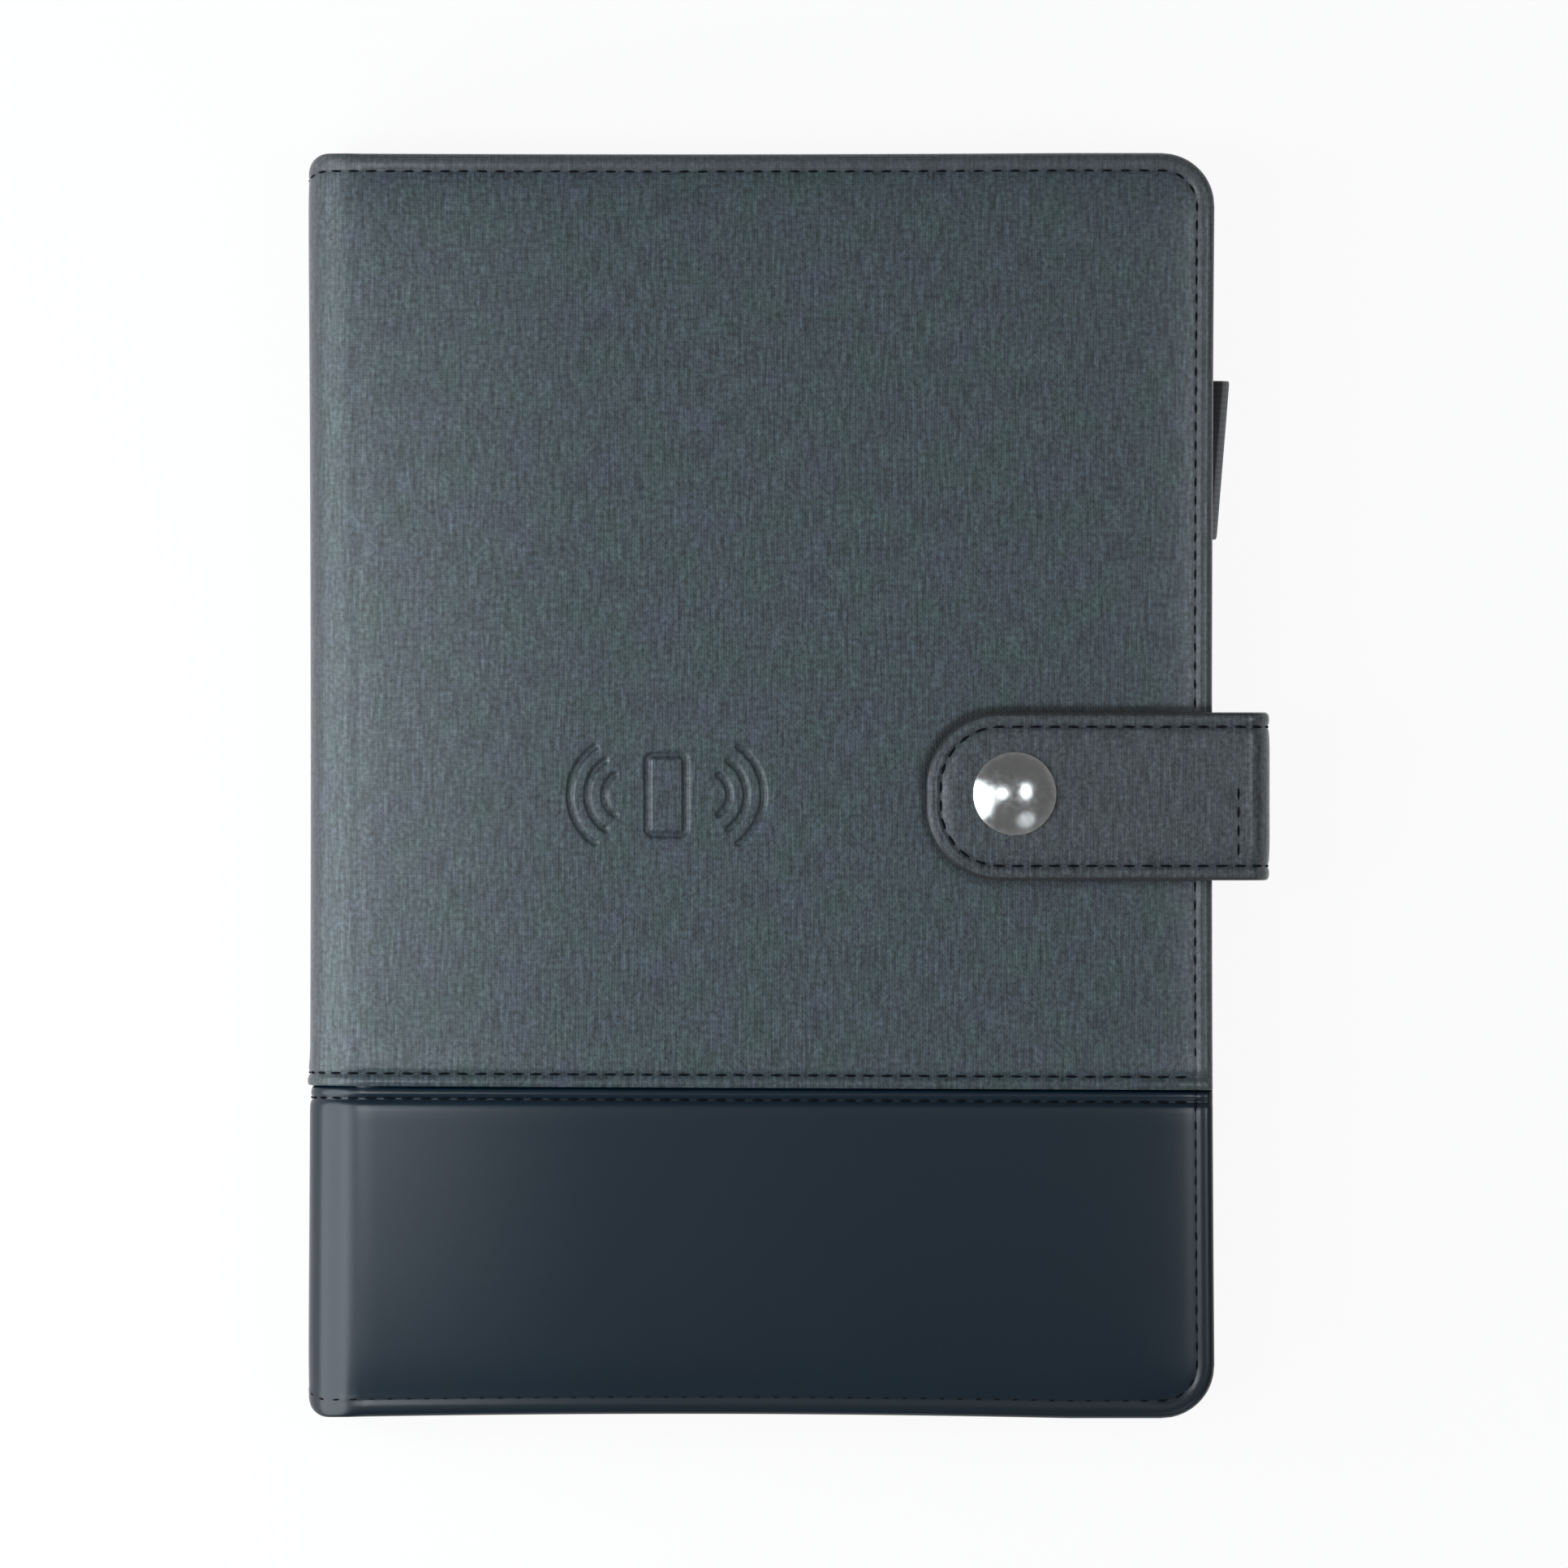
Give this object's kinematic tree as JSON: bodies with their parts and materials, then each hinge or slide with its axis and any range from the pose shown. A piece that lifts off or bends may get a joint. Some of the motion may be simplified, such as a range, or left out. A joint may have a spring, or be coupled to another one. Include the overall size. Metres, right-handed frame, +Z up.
{
  "type": "power bank portfolio",
  "caption": "Ring-binder portfolio with a padded two-tone cover, a wrap-round snap strap, a pen loop and a flat power bank with a wireless charging coil in its front cover.",
  "frame": {"origin": "centre of the back cover's outer face, which the closed portfolio lies on", "axes": "+Z up through the closed covers, +Y towards the top of the page, +X from the spine to the fore-edge"},
  "size_m": [0.1792, 0.235, 0.0357],
  "materials": {
    "woven_skin": "woven-look coated cloth, satin",
    "smooth_band": "smooth coated leather, satin",
    "strap_skin": "woven-look coated cloth, satin",
    "lining": "smooth lining cloth",
    "foam": "thin padding foam",
    "greyboard": "pressed board",
    "snap_metal": "polished plating",
    "binder_steel": "nickel plating",
    "paper": "uncoated paper",
    "loop_elastic": "woven elastic",
    "bank_plastic": "fine matte texture",
    "button_plastic": "satin gloss",
    "light_pipe": "clear pale plastic",
    "port_steel": "plain steel sheet",
    "cell_foil": "foil pouch",
    "circuit": "printed circuit laminate",
    "switch_plastic": "moulded",
    "coil_copper": "enamelled copper winding",
    "ferrite": "ferrite sheet",
    "screw_steel": "plain"
  },
  "bodies": {
    "back_cover": {"back_fabric_panel": "woven_skin", "back_band_panel": "smooth_band", "back_board": "greyboard", "back_lining": "lining", "ring_base": "binder_steel", "base_rivets": "binder_steel", "page_block": "paper", "pen_loop": "loop_elastic", "strap_anchor": "strap_skin"},
    "spine": {"spine_fabric_panel": "woven_skin", "spine_band_panel": "smooth_band", "spine_board": "greyboard", "spine_lining": "lining"},
    "front_cover": {"front_fabric_panel": "woven_skin", "front_band_panel": "smooth_band", "front_foam_pad": "foam", "front_board": "greyboard", "front_lining": "lining", "snap_stud": "snap_metal", "stud_washer": "snap_metal", "bank_base": "bank_plastic", "bank_lid": "bank_plastic", "bank_screws": "screw_steel", "circuit_board": "circuit", "battery_cells": "cell_foil", "usb_a_socket": "port_steel", "usb_c_socket": "port_steel", "charge_lights": "light_pipe", "button_switch": "switch_plastic", "charging_coil": "coil_copper", "coil_shield": "ferrite", "card_pocket_rear": "smooth_band", "card_pocket_middle": "smooth_band", "card_pocket_front": "smooth_band"},
    "power_button": {"power_button": "button_plastic"},
    "rings_left": {"half_rings_left": "binder_steel", "ring_blade_left": "binder_steel"},
    "rings_right": {"half_rings_right": "binder_steel", "ring_blade_right": "binder_steel"},
    "ring_lever_top": {"ring_lever_top": "binder_steel"},
    "ring_lever_foot": {"ring_lever_foot": "binder_steel"},
    "strap_wrap": {"strap_wrap": "strap_skin"},
    "strap_flap": {"strap_flap_fabric": "strap_skin", "strap_flap_core": "greyboard", "strap_flap_lining": "lining", "snap_cap": "snap_metal", "snap_socket": "snap_metal"}
  },
  "joints": [
    {"name": "spine_fold", "type": "hinge", "parent": "back_cover", "child": "spine", "pos_m": [-0.08237, 0, 0.00193], "axis": [0, -1, 0], "range_deg": [0, 90]},
    {"name": "cover_fold", "type": "hinge", "parent": "spine", "child": "front_cover", "pos_m": [-0.08237, 0, 0.02807], "axis": [0, -1, 0], "range_deg": [0, 90]},
    {"name": "strap_lower_fold", "type": "hinge", "parent": "back_cover", "child": "strap_wrap", "pos_m": [0.09364, -0.002, 0.00176], "axis": [0, 1, 0], "range_deg": [0, 90]},
    {"name": "strap_upper_fold", "type": "hinge", "parent": "strap_wrap", "child": "strap_flap", "pos_m": [0.09364, -0.002, 0.03184], "axis": [0, 1, 0], "range_deg": [0, 85]},
    {"name": "rings_left_turn", "type": "hinge", "parent": "back_cover", "child": "rings_left", "pos_m": [-0.077, 0, 0.00435], "axis": [0, -1, 0], "range_deg": [0, 14]},
    {"name": "rings_right_turn", "type": "hinge", "parent": "back_cover", "child": "rings_right", "pos_m": [-0.0612, 0, 0.00435], "axis": [0, 1, 0], "range_deg": [0, 14]},
    {"name": "lever_top_turn", "type": "hinge", "parent": "back_cover", "child": "ring_lever_top", "pos_m": [-0.0691, 0.098, 0.0052], "axis": [-1, 0, 0], "range_deg": [0, 12]},
    {"name": "lever_foot_turn", "type": "hinge", "parent": "back_cover", "child": "ring_lever_foot", "pos_m": [-0.0691, -0.098, 0.0052], "axis": [1, 0, 0], "range_deg": [0, 12]},
    {"name": "button_press", "type": "slide", "parent": "front_cover", "child": "power_button", "axis": [0, 0, 1], "range_m": [0, 0.0005], "stiffness_N_per_m": 1000}
  ],
  "couplings": [
    {"joint": "rings_right_turn", "follows": "rings_left_turn", "ratio": 1},
    {"joint": "lever_top_turn", "follows": "rings_left_turn", "ratio": 0.857},
    {"joint": "lever_foot_turn", "follows": "rings_left_turn", "ratio": 0.857}
  ]
}
